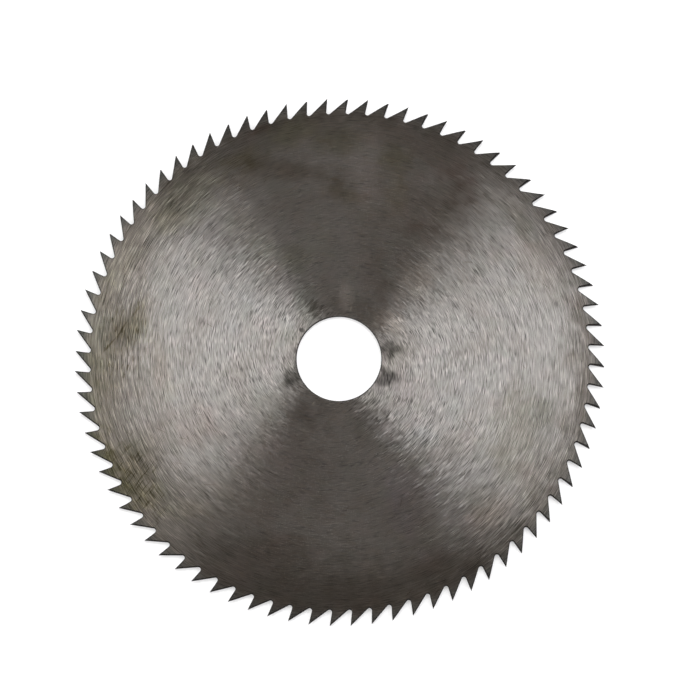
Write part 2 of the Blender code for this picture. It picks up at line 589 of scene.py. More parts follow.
@dataclass
class Bench:
    """A node tree being wired. Each method adds a node and returns the output that carries its result."""

    tree: bpy.types.NodeTree

    def add(self, kind: str, inputs: dict | None = None, **settings: object) -> bpy.types.Node:
        """Add a node, set its properties and feed its inputs.

        Args:
            kind: the node's type, such as ShaderNodeMath.
            inputs: a value or an output for each input's name or number.
            settings: the node's properties.

        Returns:
            The node.
        """
        node = self.tree.nodes.new(kind)
        for name, value in settings.items():
            setattr(node, name, value)
        for key, value in (inputs or {}).items():
            self.feed(node.inputs[key], value)
        return node

    def feed(self, socket: Socket, value: object) -> None:
        """Link an output to a socket, or set the socket to a plain value.

        Args:
            socket: the input that is fed.
            value: an output, a number, a vector, or a colour without its alpha.
        """
        if isinstance(value, Socket):
            self.tree.links.new(value, socket)
        elif isinstance(value, tuple) and socket.type == "RGBA":
            socket.default_value = (*value, 1.0)
        else:
            socket.default_value = value

    def math(self, operation: str, *values: object, clamp: bool = False) -> Socket:
        """A Math node on one to three values."""
        inputs = dict(enumerate(values))
        return self.add("ShaderNodeMath", inputs, operation=operation, use_clamp=clamp).outputs[0]

    def vector_math(self, operation: str, *values: object) -> Socket:
        """A Vector Math node, as its Value output for a length and its Vector output otherwise."""
        node = self.add("ShaderNodeVectorMath", dict(enumerate(values)), operation=operation)
        return node.outputs["Value" if operation in ("LENGTH", "DISTANCE") else "Vector"]

    def total(self, values: list) -> Socket:
        """The sum of two or more values.

        Args:
            values: numbers or outputs.

        Returns:
            Their sum.
        """
        result = values[0]
        for value in values[1:]:
            result = self.math("ADD", result, value)
        return result

    def mixed(self, value: object, other: object, share: object) -> Socket:
        """A value mixed with another by a share."""
        return self.add("ShaderNodeMix", {0: share, 2: value, 3: other}, data_type="FLOAT").outputs[0]

    def rotated(self, vector: object, angle: object) -> Socket:
        """A vector turned counter-clockwise by an angle, seen from above."""
        turn = {"Vector": vector, "Angle": angle}
        return self.add("ShaderNodeVectorRotate", turn, rotation_type="Z_AXIS").outputs[0]

    def split(self, vector: object) -> tuple[Socket, ...]:
        """The three parts of a vector."""
        return tuple(self.add("ShaderNodeSeparateXYZ", {0: vector}).outputs)

    def join(self, x: object, y: object, z: object) -> Socket:
        """A vector from its three parts."""
        return self.add("ShaderNodeCombineXYZ", {0: x, 1: y, 2: z}).outputs[0]

    def scaled(self, value: object, lows: Pair, highs: Pair) -> Socket:
        """A value carried smoothly from one range to another.

        Args:
            value: what is carried.
            lows: where the range starts, before and after.
            highs: where it ends, before and after.

        Returns:
            The carried value, which stays within the new range.
        """
        inputs = {0: value, 1: lows[0], 2: highs[0], 3: lows[1], 4: highs[1]}
        return self.add("ShaderNodeMapRange", inputs, interpolation_type="SMOOTHSTEP").outputs[0]

    def noise(self, vector: object, scale: float, detail: object = 2.0) -> Socket:
        """Three-dimensional noise about 0.5."""
        inputs = {"Vector": vector, "Scale": scale, "Detail": detail}
        return self.add("ShaderNodeTexNoise", inputs).outputs[0]

    def plan_radius(self, x: object, y: object) -> Socket:
        """How far a point with these two parts lies from the blade's axis."""
        return self.vector_math("LENGTH", self.join(x, y, 0.0))

    def spun(self, x: object, y: object, cos: object, sin: object) -> tuple[Socket, Socket]:
        """Turn two parts of a vector counter-clockwise.

        Formula: x cos - y sin, and x sin + y cos.

        Args:
            x: the first part.
            y: the second part.
            cos: the angle's cosine.
            sin: its sine.

        Returns:
            The turned parts.
        """
        first = self.math("SUBTRACT", self.math("MULTIPLY", x, cos), self.math("MULTIPLY", y, sin))
        second = self.math("ADD", self.math("MULTIPLY", x, sin), self.math("MULTIPLY", y, cos))
        return first, second

    def brightened(self, colour: Colour, level: object) -> Socket:
        """A colour times a level."""
        return self.add("ShaderNodeVectorMath", {0: colour, "Scale": level}, operation="SCALE").outputs[0]

    def mark_place(self, vector: object, circle: object, width: object, length: object) -> Socket:
        """Coordinates that follow the grinding marks, which are involutes of a small circle about the axis.

        Formula: with a = sqrt((r / c)^2 - 1), the involutes of a circle of radius c are turned back by
        a - atan(a), which makes each one a single direction. The sine and cosine of that direction times
        c measure the distance across the marks, and c a^2 / 2 the distance along them.

        Args:
            vector: the object coordinates.
            circle: the circle's radius.
            width: the marks' width.
            length: the marks' length.

        Returns:
            A vector in which noise is drawn out along the marks, with no seam.
        """
        x, y, z = self.split(vector)
        radius = self.plan_radius(x, y)
        ratio = self.math("MAXIMUM", self.math("DIVIDE", radius, circle), 1.0)
        roll = self.math("SQRT", self.math("SUBTRACT", self.math("MULTIPLY", ratio, ratio), 1.0))
        turn = self.math("SUBTRACT", roll, self.math("ARCTANGENT", roll))
        cos, sin = self.math("COSINE", turn), self.math("SINE", turn)
        across = self.math("DIVIDE", circle, self.math("MULTIPLY", width, radius))
        u, v = self.spun(x, y, cos, sin)
        run = self.math("MULTIPLY", self.math("MULTIPLY", roll, roll), self.math("DIVIDE", circle, 2.0))
        side = self.math("MULTIPLY", self.math("SIGN", z), FACES_APART)
        along = self.math("ADD", self.math("DIVIDE", run, length), side)
        return self.join(self.math("MULTIPLY", u, across), self.math("MULTIPLY", v, across), along)

    def crisp(self, value: object, crispness: object) -> Socket:
        """Noise about 0.5 widened about zero and cut off at -1 and 1."""
        spread = self.math("MULTIPLY", self.math("SUBTRACT", value, 0.5), crispness)
        return self.math("MAXIMUM", self.math("MINIMUM", spread, 1.0), -1.0)

    def tint(self, colour: object, other: object, share: object, blend: str = "MIX") -> Socket:
        """A colour mixed with another by a share.

        Args:
            colour: the colour at a share of 0.
            other: the colour that is mixed in.
            share: how much of it, from 0 to 1.
            blend: how the two are mixed.

        Returns:
            The mixed colour.
        """
        node = self.add("ShaderNodeMix", data_type="RGBA", blend_type=blend)
        for socket, value in ((node.inputs[6], colour), (node.inputs[7], other), (node.inputs[0], share)):
            self.feed(socket, value)
        return node.outputs[2]


@dataclass(frozen=True)
class Port:
    """A socket of a node group: its name, type and starting value."""

    name: str
    kind: str = "NodeSocketFloat"
    value: float | None = None


def new_group(
    name: str, inputs: tuple[Port, ...], outputs: tuple[Port, ...]
) -> tuple[Bench, dict[str, Socket], bpy.types.Node]:
    """Start a shader node group.

    Args:
        name: the group's name.
        inputs: its inputs.
        outputs: its outputs.

    Returns:
        Its bench, its inputs' sockets by name, and the node that takes its outputs.
    """
    tree = bpy.data.node_groups.new(name, "ShaderNodeTree")
    for ports, way in ((inputs, "INPUT"), (outputs, "OUTPUT")):
        for port in ports:
            socket = tree.interface.new_socket(port.name, in_out=way, socket_type=port.kind)
            if port.value is not None:
                socket.default_value = port.value
    bench = Bench(tree)
    entry = bench.add("NodeGroupInput")
    return bench, {port.name: entry.outputs[port.name] for port in inputs}, bench.add("NodeGroupOutput")


class Effects:
    """The effects that the finishes are laid up from, each a node group that is built once."""

    def __init__(self) -> None:
        """Build the groups."""
        self.marks = self.build_marks()
        self.film = self.build_film()
        self.patch = self.build_patch()

    def build_marks(self) -> bpy.types.NodeTree:
        """Grinding marks: noise drawn out along them and made crisp.

        Returns:
            The group.
        """
        ports = (
            Port("Vector", "NodeSocketVector"),
            Port("Base Circle", value=0.006),
            Port("Width", value=0.0005),
            Port("Length", value=0.012),
            Port("Crispness", value=1.0),
        )
        bench, given, out = new_group("Grinding marks", ports, (Port("Value"),))
        place = bench.mark_place(given["Vector"], given["Base Circle"], given["Width"], given["Length"])
        noise = bench.noise(place, 1.0, detail=0.0)
        bench.feed(out.inputs["Value"], bench.crisp(noise, given["Crispness"]))
        return bench.tree

    def build_film(self) -> bpy.types.NodeTree:
        """Cloudy film: noise between a low and a high level becomes a mask from 0 to 1.

        Returns:
            The group.
        """
        ports = (
            Port("Vector", "NodeSocketVector"),
            Port("Size", value=0.02),
            Port("Low", value=0.4),
            Port("High", value=0.6),
            Port("Detail", value=3.0),
        )
        bench, given, out = new_group("Cloudy film", ports, (Port("Mask"),))
        size = given["Size"]
        place = bench.vector_math("DIVIDE", given["Vector"], bench.join(size, size, size))
        noise = bench.noise(place, 1.0, detail=given["Detail"])
        bench.feed(out.inputs["Mask"], bench.scaled(noise, (given["Low"], 0.0), (given["High"], 1.0)))
        return bench.tree

    def build_patch(self) -> bpy.types.NodeTree:
        """One soft, uneven oval patch on the upper face.

        Formula: the way from the patch's centre, turned and divided by its half-axes, has length 1 on
        its edge. The shift moves the edge in and out, and the mask falls smoothly across it.

        Returns:
            The group.
        """
        ports = (
            Port("Vector", "NodeSocketVector"),
            Port("Shift"),
            Port("Centre", "NodeSocketVector"),
            Port("Half Axes", "NodeSocketVector"),
            Port("Turn"),
            Port("Softness", value=0.7),
        )
        bench, given, out = new_group("Patch", ports, (Port("Mask"),))
        away = bench.vector_math("SUBTRACT", given["Vector"], given["Centre"])
        flat = bench.vector_math("MULTIPLY", bench.rotated(away, given["Turn"]), (1.0, 1.0, 0.0))
        distance = bench.vector_math("LENGTH", bench.vector_math("DIVIDE", flat, given["Half Axes"]))
        reach = bench.math("ADD", distance, given["Shift"])
        inner = bench.math("SUBTRACT", 1.0, given["Softness"])
        outer = bench.math("ADD", 1.0, given["Softness"])
        fall = bench.scaled(reach, (inner, 1.0), (outer, 0.0))
        _, _, height = bench.split(given["Vector"])
        upper = bench.math("GREATER_THAN", height, 0.0)
        bench.feed(out.inputs["Mask"], bench.math("MULTIPLY", fall, upper))
        return bench.tree


@dataclass(frozen=True)
class Marks:
    """One layer of grinding marks: their size, how strongly they show, and the circle they lean from."""

    width: float
    length: float
    strength: float = 1.0
    crispness: float = 1.0
    base_circle: float = 5.9 * MILLIMETRE

    def lay(self, bench: Bench, effects: Effects, place: object) -> Socket:
        """The layer's value about zero, at its strength.

        Args:
            bench: the material's bench.
            effects: the node groups.
            place: the object coordinates.

        Returns:
            The value.
        """
        given = {
            "Vector": place,
            "Base Circle": self.base_circle,
            "Width": self.width,
            "Length": self.length,
            "Crispness": self.crispness,
        }
        node = bench.add("ShaderNodeGroup", given, node_tree=effects.marks)
        return bench.math("MULTIPLY", node.outputs["Value"], self.strength)


@dataclass(frozen=True)
class Scratches:
    """Rare long scratches: the crests of a layer of marks above a level."""

    marks: Marks
    above: float
    whole: float
    tint: Colour

    def lay(self, bench: Bench, effects: Effects, place: object, colour: object) -> Socket:
        """The colour with these scratches in it.

        Args:
            bench: the material's bench.
            effects: the node groups.
            place: the object coordinates.
            colour: the colour beneath.

        Returns:
            The colour.
        """
        mask = bench.scaled(self.marks.lay(bench, effects, place), (self.above, 0.0), (self.whole, 1.0))
        return bench.tint(colour, self.tint, mask, "MULTIPLY")


@dataclass(frozen=True)
class Cloud:
    """A cloudy film: its clouds' size, the levels of its noise, and what it does to the colour."""

    size: float
    low: float
    high: float
    tint: Colour

    def lay(self, bench: Bench, effects: Effects, place: object, colour: object) -> Socket:
        """The colour under the film.

        Args:
            bench: the material's bench.
            effects: the node groups.
            place: the object coordinates.
            colour: the colour beneath.

        Returns:
            The colour.
        """
        node = bench.add("ShaderNodeGroup", node_tree=effects.film)
        for name, value in {"Vector": place, "Size": self.size, "Low": self.low, "High": self.high}.items():
            bench.feed(node.inputs[name], value)
        return bench.tint(colour, self.tint, node.outputs["Mask"], "MULTIPLY")


@dataclass(frozen=True)
class Stain:
    """A patch on the upper face, in millimetres right and up of the blade's centre as the photo shows it.

    Its turn is counter-clockwise and in degrees, and its tint multiplies the colour beneath.
    """

    right: float
    up: float
    wide: float
    tall: float
    tint: Colour
    turn: float = 0.0
    softness: float = 0.7

    def mask(self, bench: Bench, effects: Effects, place: object, shift: object) -> Socket:
        """Where the patch is, from 0 to 1.

        Args:
            bench: the material's bench.
            effects: the node groups.
            place: the object coordinates, turned as the blade lies in the photograph.
            shift: how far the edge is moved here.

        Returns:
            The mask.
        """
        given = {
            "Vector": place,
            "Shift": shift,
            "Centre": (self.right * MILLIMETRE, self.up * MILLIMETRE, 0.0),
            "Half Axes": (self.wide * MILLIMETRE, self.tall * MILLIMETRE, 1.0),
            "Turn": -math.radians(self.turn),
            "Softness": self.softness,
        }
        return bench.add("ShaderNodeGroup", given, node_tree=effects.patch).outputs["Mask"]

    def lay(
        self, bench: Bench, effects: Effects, place: object, shift: object, colour: object
    ) -> Socket:
        """The colour with this patch on it."""
        return bench.tint(colour, self.tint, self.mask(bench, effects, place, shift), "MULTIPLY")


@dataclass(frozen=True)
class Hatching:
    """Straight scratches inside a patch, at a turn from the picture's upward direction, in degrees."""

    patch: Stain
    turn: float
    width: float
    length: float
    above: float
    whole: float

    def lay(
        self, bench: Bench, effects: Effects, place: object, shift: object, colour: object
    ) -> Socket:
        """The colour with the scratches in it: the crests of noise that is drawn out along them.

        Args:
            bench: the material's bench.
            effects: the node groups.
            place: the object coordinates, turned as the blade lies in the photograph.
            shift: how far the edge is moved here.
            colour: the colour beneath.

        Returns:
            The colour.
        """
        lying = bench.rotated(place, -math.radians(self.turn))
        drawn = bench.vector_math("DIVIDE", lying, (self.width, self.length, 1.0))
        crests = bench.scaled(bench.noise(drawn, 1.0, detail=0.0), (self.above, 0.0), (self.whole, 1.0))
        share = bench.math("MULTIPLY", crests, self.patch.mask(bench, effects, place, shift))
        return bench.tint(colour, self.patch.tint, share, "MULTIPLY")


@dataclass(frozen=True)
class Film:
    """A film that thickens towards the rim, away from a point right and up of the blade's centre, in mm."""

    right: float
    up: float
    start: float
    whole: float
    tint: Colour
    waver: float = 8.0

    def share(self, bench: Bench, place: object, shift: object) -> Socket:
        """How thick the film is, from 0 to 1: the distance from its point, wavering by the shift.

        Args:
            bench: the material's bench.
            place: the object coordinates, turned as the blade lies in the photograph.
            shift: how far the edge is moved here.

        Returns:
            The share.
        """
        away = bench.vector_math("DISTANCE", place, (self.right * MILLIMETRE, self.up * MILLIMETRE, 0.0))
        reach = bench.math("ADD", away, bench.math("MULTIPLY", shift, self.waver * MILLIMETRE))
        return bench.scaled(reach, (self.start * MILLIMETRE, 0.0), (self.whole * MILLIMETRE, 1.0))


RIM_FILM = Film(right=7.0, up=7.0, start=72.0, whole=97.0, tint=(0.54, 0.515, 0.485))
RIGHT_FILM = Film(right=-5.0, up=0.0, start=91.0, whole=99.0, tint=(0.74, 0.735, 0.73))
RIM_STROKES = (
    Marks(width=0.46 * MILLIMETRE, length=4.0 * MILLIMETRE, base_circle=3.0 * MILLIMETRE),
    Marks(width=0.42 * MILLIMETRE, length=3.4 * MILLIMETRE, base_circle=12.0 * MILLIMETRE),
)
# How soon the strokes in the rim's film reach their whole strength, and the levels of their noise
STROKES_IN_FILM = 1.6
STROKE_FROM = 0.08
STROKE_WHOLE = 0.20
DARK_STROKE: Colour = (0.49, 0.49, 0.44)
LIGHT_STROKE: Colour = (1.50, 1.50, 1.48)
# Right and left of the middle, as a share of the radius, and the strokes' strength from there on. The
# strokes are strongest there, where the highlights fall, so their contrast is partly painted highlight and
# shade.
HIGHLIT_STROKES_FROM: Pair = (0.45, 0.35)
HIGHLIT_STROKES_WHOLE: Pair = (0.80, 1.0)

# Laid over the plate
STAINS = (
    Stain(right=-22.0, up=72.5, wide=20.0, tall=3.5, turn=-8.0, tint=(0.74, 0.71, 0.67)),
    Stain(right=-38.0, up=76.0, wide=6.0, tall=4.0, turn=25.0, tint=(0.90, 0.88, 0.80)),
    Stain(right=1.0, up=63.5, wide=7.0, tall=4.0, turn=-20.0, tint=(0.72, 0.69, 0.62)),
    Stain(right=-37.7, up=52.8, wide=17.0, tall=6.0, turn=-45.0, tint=(1.24, 1.26, 1.25)),
    Stain(right=-26.0, up=34.7, wide=6.0, tall=7.0, tint=(1.16, 1.18, 1.18)),
    Stain(right=-12.0, up=22.0, wide=4.0, tall=10.0, turn=20.0, tint=(0.82, 0.85, 0.82)),
    Stain(right=3.0, up=23.4, wide=2.3, tall=5.0, tint=(1.45, 1.42, 1.42)),
    Stain(right=18.5, up=15.0, wide=5.5, tall=3.5, turn=20.0, tint=(1.42, 1.38, 1.36)),
    Stain(right=29.5, up=29.5, wide=8.0, tall=5.0, turn=45.0, tint=(1.22, 1.20, 1.18)),
    Stain(right=14.0, up=30.0, wide=5.0, tall=8.0, tint=(0.86, 0.83, 0.81)),
    Stain(right=18.5, up=3.2, wide=3.8, tall=3.1, turn=8.0, softness=0.42, tint=(0.42, 0.42, 0.41)),
    Stain(right=21.3, up=3.6, wide=2.6, tall=1.2, turn=22.0, softness=0.50, tint=(0.66, 0.66, 0.65)),
    Stain(right=16.7, up=-7.8, wide=5.3, tall=3.0, turn=22.0, softness=0.42, tint=(0.39, 0.39, 0.39)),
    Stain(right=18.8, up=-6.2, wide=2.4, tall=2.2, turn=20.0, softness=0.50, tint=(0.72, 0.72, 0.72)),
    Stain(right=16.8, up=-4.6, wide=0.9, tall=2.2, turn=12.0, softness=0.50, tint=(0.55, 0.55, 0.54)),
    Stain(right=-17.6, up=-7.2, wide=4.6, tall=3.1, turn=30.0, softness=0.45, tint=(0.38, 0.38, 0.37)),
    Stain(right=-20.0, up=-9.4, wide=2.8, tall=1.8, turn=10.0, softness=0.60, tint=(0.66, 0.66, 0.64)),
    Stain(right=-14.0, up=10.8, wide=1.0, tall=0.7, turn=-30.0, softness=0.4, tint=(0.42, 0.42, 0.42)),
    Stain(right=-16.6, up=3.4, wide=0.5, tall=1.3, softness=0.4, tint=(0.50, 0.50, 0.50)),
    Stain(right=-16.5, up=-2.2, wide=0.4, tall=1.5, softness=0.4, tint=(0.55, 0.55, 0.55)),
    Stain(right=-9.5, up=-16.8, wide=0.9, tall=0.25, turn=45.0, softness=0.4, tint=(2.2, 2.2, 2.1)),
    Stain(right=4.4, up=18.7, wide=0.25, tall=1.3, turn=-15.0, softness=0.4, tint=(1.7, 1.7, 1.65)),
    Stain(right=69.5, up=51.0, wide=3.2, tall=6.5, turn=38.0, tint=(0.68, 0.68, 0.64)),
    Stain(right=73.0, up=38.0, wide=6.0, tall=9.0, turn=28.0, tint=(0.86, 0.83, 0.80)),
    Stain(right=30.0, up=57.0, wide=13.0, tall=9.0, turn=-20.0, tint=(0.84, 0.81, 0.79)),
    Stain(right=40.0, up=76.0, wide=18.0, tall=7.0, turn=-25.0, tint=(0.84, 0.81, 0.80)),
    Stain(right=27.0, up=-55.0, wide=7.0, tall=12.0, turn=25.0, tint=(0.97, 0.93, 1.03)),
    Stain(right=56.0, up=-58.0, wide=9.0, tall=5.0, turn=40.0, tint=(1.06, 1.00, 0.96)),
    Stain(right=66.0, up=-30.0, wide=9.0, tall=16.0, turn=-20.0, tint=(0.84, 0.84, 0.79)),
    Stain(right=78.0, up=-20.0, wide=3.0, tall=6.0, tint=(0.80, 0.81, 0.78)),
    Stain(right=57.0, up=-42.0, wide=8.0, tall=8.0, tint=(0.92, 0.92, 0.92)),
    Stain(right=-80.5, up=11.0, wide=5.0, tall=8.5, turn=-30.0, tint=(0.62, 0.60, 0.53)),
    Stain(right=-77.5, up=-43.0, wide=6.0, tall=13.0, turn=28.0, tint=(0.66, 0.65, 0.57)),
    Stain(right=-67.0, up=-4.0, wide=4.0, tall=15.0, turn=4.0, tint=(0.90, 0.87, 0.83)),
    Stain(right=34.0, up=-77.5, wide=8.0, tall=3.0, turn=24.0, tint=(0.86, 0.82, 0.79)),
    Stain(right=-22.0, up=-70.0, wide=12.0, tall=5.0, tint=(0.84, 0.81, 0.79)),
    Stain(right=-20.0, up=-40.0, wide=16.0, tall=20.0, tint=(0.90, 0.87, 0.86)),
    Stain(right=-56.0, up=-25.0, wide=12.0, tall=7.0, tint=(0.92, 0.88, 0.87)),
    Stain(right=-58.0, up=62.0, wide=16.0, tall=8.0, turn=40.0, tint=(0.95, 0.96, 0.87)),
    Stain(right=-18.0, up=87.0, wide=10.0, tall=5.0, turn=10.0, tint=(0.86, 0.86, 0.74)),
    Stain(right=21.0, up=77.0, wide=6.0, tall=4.0, tint=(0.86, 0.87, 0.78)),
    Stain(right=22.0, up=62.0, wide=4.0, tall=9.0, tint=(1.08, 1.07, 1.00)),
    Stain(right=9.5, up=73.0, wide=6.0, tall=12.0, tint=(1.22, 1.20, 1.22)),
    Stain(right=-90.0, up=0.0, wide=6.0, tall=30.0, tint=(0.98, 0.97, 0.90)),
    Stain(right=16.0, up=87.0, wide=12.0, tall=5.0, turn=-10.0, tint=(0.92, 0.90, 0.88)),
    Stain(right=71.0, up=-23.0, wide=6.0, tall=8.0, tint=(0.86, 0.86, 0.84)),
    Stain(right=-70.0, up=-52.0, wide=5.0, tall=5.0, tint=(1.10, 1.10, 1.02)),
    Stain(right=-8.5, up=18.5, wide=3.0, tall=3.0, tint=(0.72, 0.70, 0.68)),
    Stain(right=-58.0, up=-57.0, wide=9.0, tall=3.0, tint=(1.12, 1.12, 1.08)),
    Stain(right=-36.0, up=-76.0, wide=7.0, tall=4.0, turn=25.0, tint=(1.12, 1.09, 1.10)),
    Stain(right=29.0, up=-31.0, wide=6.0, tall=5.0, tint=(1.13, 1.16, 1.18)),
    Stain(right=53.0, up=-53.0, wide=6.0, tall=6.0, tint=(0.88, 0.90, 0.88)),
    Stain(right=41.0, up=61.0, wide=5.0, tall=10.0, turn=-15.0, tint=(0.87, 0.85, 0.83)),
    Stain(right=-8.0, up=44.0, wide=5.0, tall=7.0, tint=(1.08, 1.10, 1.08)),
    Stain(right=-43.0, up=-47.0, wide=6.0, tall=6.0, tint=(0.90, 0.90, 0.88)),
    Stain(right=-28.0, up=42.0, wide=4.0, tall=5.0, tint=(0.90, 0.90, 0.88)),
    Stain(right=33.5, up=47.5, wide=7.0, tall=4.0, turn=-10.0, tint=(0.82, 0.79, 0.77)),
    Stain(right=49.0, up=65.0, wide=8.0, tall=5.0, turn=-35.0, tint=(0.80, 0.77, 0.76)),
    Stain(right=22.0, up=72.0, wide=6.0, tall=6.0, tint=(0.88, 0.86, 0.81)),
    Stain(right=-82.0, up=36.0, wide=4.0, tall=8.0, turn=-20.0, tint=(1.26, 1.30, 1.26)),
    Stain(right=-86.2, up=6.0, wide=0.32, tall=4.2, turn=-41.0, tint=(0.60, 0.57, 0.49)),
    Stain(right=-81.7, up=12.0, wide=0.32, tall=2.8, turn=-31.0, tint=(0.60, 0.57, 0.49)),
    Stain(right=-77.0, up=18.0, wide=0.35, tall=2.6, turn=-38.0, tint=(0.74, 0.70, 0.62)),
    Stain(right=-30.0, up=88.0, wide=4.0, tall=1.6, turn=22.0, tint=(0.76, 0.69, 0.67)),
    Stain(right=30.0, up=-57.0, wide=5.0, tall=12.0, turn=25.0, tint=(0.88, 0.88, 0.80)),
    Stain(right=-41.0, up=-57.0, wide=10.0, tall=6.0, tint=(0.88, 0.86, 0.84)),
    Stain(right=-17.0, up=38.0, wide=5.0, tall=5.0, tint=(0.86, 0.88, 0.82)),
    Stain(right=25.0, up=42.0, wide=4.0, tall=9.0, turn=-28.0, tint=(0.89, 0.87, 0.86)),
    Stain(right=-39.0, up=20.0, wide=9.0, tall=7.0, tint=(1.06, 1.09, 1.12)),
    Stain(right=-26.0, up=-19.0, wide=7.0, tall=8.0, tint=(1.10, 1.13, 1.12)),
    Stain(right=-19.5, up=9.0, wide=3.0, tall=6.0, tint=(1.14, 1.17, 1.17)),
    Stain(right=24.0, up=-11.0, wide=4.0, tall=5.0, tint=(1.12, 1.10, 1.14)),
    Stain(right=10.0, up=60.0, wide=7.0, tall=6.0, tint=(1.10, 1.10, 1.10)),
    Stain(right=1.0, up=83.0, wide=9.0, tall=4.5, tint=(0.80, 0.79, 0.70)),
    Stain(right=-37.0, up=69.5, wide=7.0, tall=4.0, turn=20.0, tint=(0.86, 0.83, 0.79)),
    Stain(right=1.5, up=-3.0, wide=24.0, tall=24.0, softness=0.30, tint=(0.86, 0.85, 0.84)),
    Stain(right=0.0, up=-21.0, wide=4.0, tall=4.0, tint=(1.15, 1.13, 1.12)),
    Stain(right=79.0, up=46.0, wide=6.0, tall=15.0, turn=30.0, tint=(0.85, 0.84, 0.84)),
    Stain(right=-81.0, up=-47.0, wide=5.0, tall=14.0, turn=30.0, tint=(0.96, 0.96, 0.92)),
    Stain(right=47.0, up=58.0, wide=5.0, tall=6.0, tint=(0.82, 0.80, 0.79)),
    Stain(right=18.0, up=26.0, wide=4.0, tall=7.0, turn=-30.0, tint=(0.86, 0.85, 0.84)),
    Stain(right=-32.5, up=78.0, wide=5.0, tall=3.5, tint=(0.86, 0.86, 0.80)),
    Stain(right=-74.5, up=15.0, wide=3.5, tall=7.0, tint=(0.86, 0.85, 0.80)),
    Stain(right=-90.0, up=11.5, wide=4.0, tall=7.0, tint=(1.12, 1.17, 1.22)),
    Stain(right=-72.5, up=-34.0, wide=5.0, tall=5.0, tint=(0.97, 0.97, 0.94)),
    Stain(right=-34.0, up=40.0, wide=7.0, tall=5.0, tint=(1.10, 1.12, 1.12)),
    Stain(right=45.0, up=-10.0, wide=5.0, tall=14.0, tint=(1.07, 1.09, 1.11)),
    Stain(right=13.5, up=-80.0, wide=5.0, tall=4.0, tint=(1.12, 1.10, 1.10)),
    Stain(right=36.0, up=-74.0, wide=5.0, tall=4.0, turn=25.0, tint=(1.10, 1.09, 1.13)),
    Stain(right=-65.0, up=53.0, wide=5.0, tall=6.0, turn=-40.0, tint=(0.88, 0.87, 0.83)),
    Stain(right=75.0, up=-27.0, wide=6.0, tall=12.0, turn=-18.0, tint=(0.90, 0.90, 0.90)),
    Stain(right=22.0, up=12.0, wide=4.0, tall=3.0, tint=(1.10, 1.09, 1.08)),
    Stain(right=34.0, up=58.0, wide=15.0, tall=30.0, turn=-32.0, tint=(0.91, 0.90, 0.89)),
    Stain(right=-22.0, up=68.0, wide=10.0, tall=16.0, turn=18.0, tint=(0.94, 0.94, 0.93)),
    Stain(right=-14.0, up=-21.0, wide=5.0, tall=4.0, tint=(0.88, 0.86, 0.86)),
    Stain(right=14.0, up=-22.0, wide=5.0, tall=4.0, tint=(0.87, 0.87, 0.86)),
)

HATCHINGS = (
    Hatching(
        patch=Stain(right=-76.0, up=-46.0, wide=8.0, tall=14.0, turn=28.0, tint=(0.50, 0.49, 0.42)),
        turn=-37.0,
        width=0.55 * MILLIMETRE,
        length=6.0 * MILLIMETRE,
        above=0.60,
        whole=0.68,
    ),
    Hatching(
        patch=Stain(right=-76.0, up=-46.0, wide=8.0, tall=14.0, turn=28.0, tint=(0.44, 0.43, 0.36)),
        turn=31.0,
        width=0.50 * MILLIMETRE,
        length=5.0 * MILLIMETRE,
        above=0.58,
        whole=0.66,
    ),
    Hatching(
        patch=Stain(right=-76.0, up=-46.0, wide=8.0, tall=16.0, turn=28.0, tint=(1.60, 1.59, 1.55)),
        turn=29.0,
        width=0.60 * MILLIMETRE,
        length=6.0 * MILLIMETRE,
        above=0.60,
        whole=0.70,
    ),
    Hatching(
        patch=Stain(right=-81.0, up=8.0, wide=9.0, tall=16.0, turn=-12.0, tint=(0.50, 0.48, 0.41)),
        turn=-4.0,
        width=0.45 * MILLIMETRE,
        length=3.5 * MILLIMETRE,
        above=0.58,
        whole=0.66,
    ),
    Hatching(
        patch=Stain(right=-81.0, up=8.0, wide=9.0, tall=18.0, turn=-12.0, tint=(1.42, 1.43, 1.37)),
        turn=-4.0,
        width=0.50 * MILLIMETRE,
        length=4.5 * MILLIMETRE,
        above=0.60,
        whole=0.70,
    ),
)

# Laid over the plate and the teeth
TOOTH_STAINS = (
    Stain(right=0.0, up=97.0, wide=36.0, tall=6.0, tint=(1.10, 1.10, 1.10)),
    Stain(right=-91.0, up=-42.0, wide=8.0, tall=22.0, turn=26.0, softness=0.5, tint=(0.66, 0.67, 0.52)),
    Stain(right=-98.0, up=-10.0, wide=7.0, tall=18.0, turn=6.0, softness=0.5, tint=(0.76, 0.80, 0.74)),
    Stain(right=86.0, up=50.0, wide=8.0, tall=18.0, turn=30.0, tint=(0.84, 0.84, 0.84)),
    Stain(right=28.0, up=-94.0, wide=45.0, tall=7.0, turn=16.0, tint=(1.22, 1.21, 1.20)),
)


